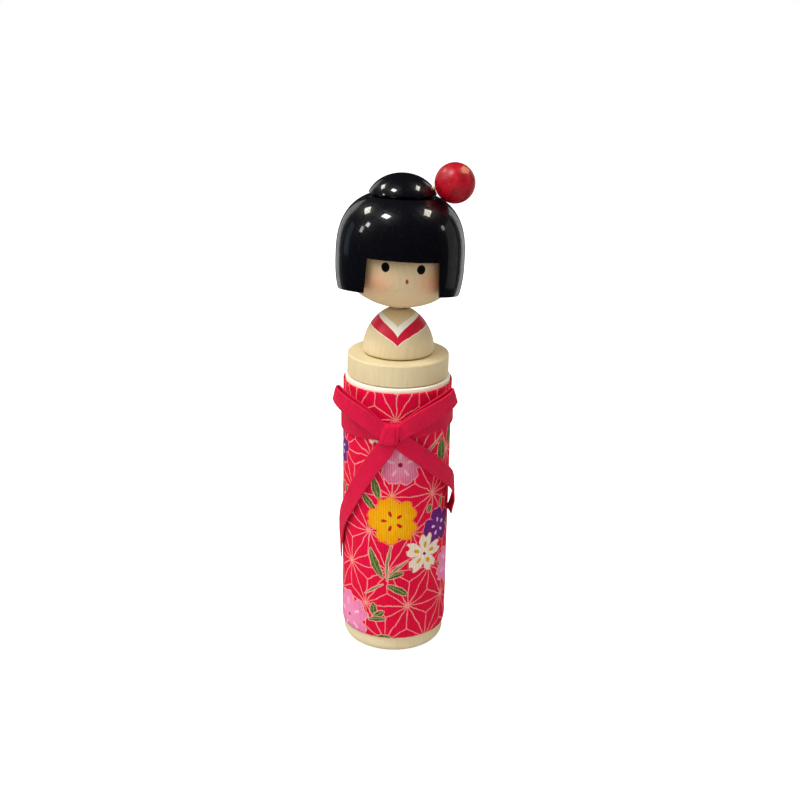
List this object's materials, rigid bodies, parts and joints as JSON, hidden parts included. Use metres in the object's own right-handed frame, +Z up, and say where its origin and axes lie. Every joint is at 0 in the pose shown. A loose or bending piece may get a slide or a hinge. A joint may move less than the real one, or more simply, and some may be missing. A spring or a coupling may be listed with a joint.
{
  "type": "kokeshi doll",
  "caption": "Turned wooden doll that opens as a box: hollow cup body with a cloth wrap and ribbon bow, lift-off lid with bust, and a turning head with hair cap, bun and bead.",
  "frame": {"origin": "middle of the flat underside of the cup", "axes": "+Z up along the cup's axis, -Y towards the doll's front, +X towards the bead's side"},
  "size_m": [0.0482, 0.0459, 0.1766],
  "materials": {
    "pale_wood": "bare turned wood, fine sanded",
    "painted_wood": "bare turned wood with painted details",
    "peg_wood": "plain dowel",
    "hair_lacquer": "gloss black lacquer on turned wood",
    "bead_lacquer": "satin red paint on a turned bead",
    "kimono_cloth": "printed cotton crepe",
    "ribbon": "ribbed ribbon"
  },
  "bodies": {
    "body": {"body_cup": "pale_wood", "kimono_wrap": "kimono_cloth", "ribbon_band": "ribbon", "ribbon_knot": "ribbon", "ribbon_loop_left": "ribbon", "ribbon_loop_right": "ribbon", "ribbon_tail_left": "ribbon", "ribbon_tail_right": "ribbon"},
    "doll_top": {"lid_plug": "pale_wood", "bust": "painted_wood", "bust_peg": "peg_wood", "neck_peg": "peg_wood"},
    "head": {"head": "painted_wood", "hair_shell": "hair_lacquer", "hair_bun": "hair_lacquer", "bun_peg": "peg_wood", "hair_bead": "bead_lacquer", "bead_pin": "peg_wood"}
  },
  "joints": [
    {"name": "lid_lift", "type": "slide", "parent": "body", "child": "doll_top", "axis": [0, 0, 1], "range_m": [0, 0.04]},
    {"name": "head_turn", "type": "hinge", "parent": "doll_top", "child": "head", "pos_m": [-0.0004, 0, 0.12603], "axis": [0.0232, 0.0537, 0.9983], "continuous": true}
  ]
}
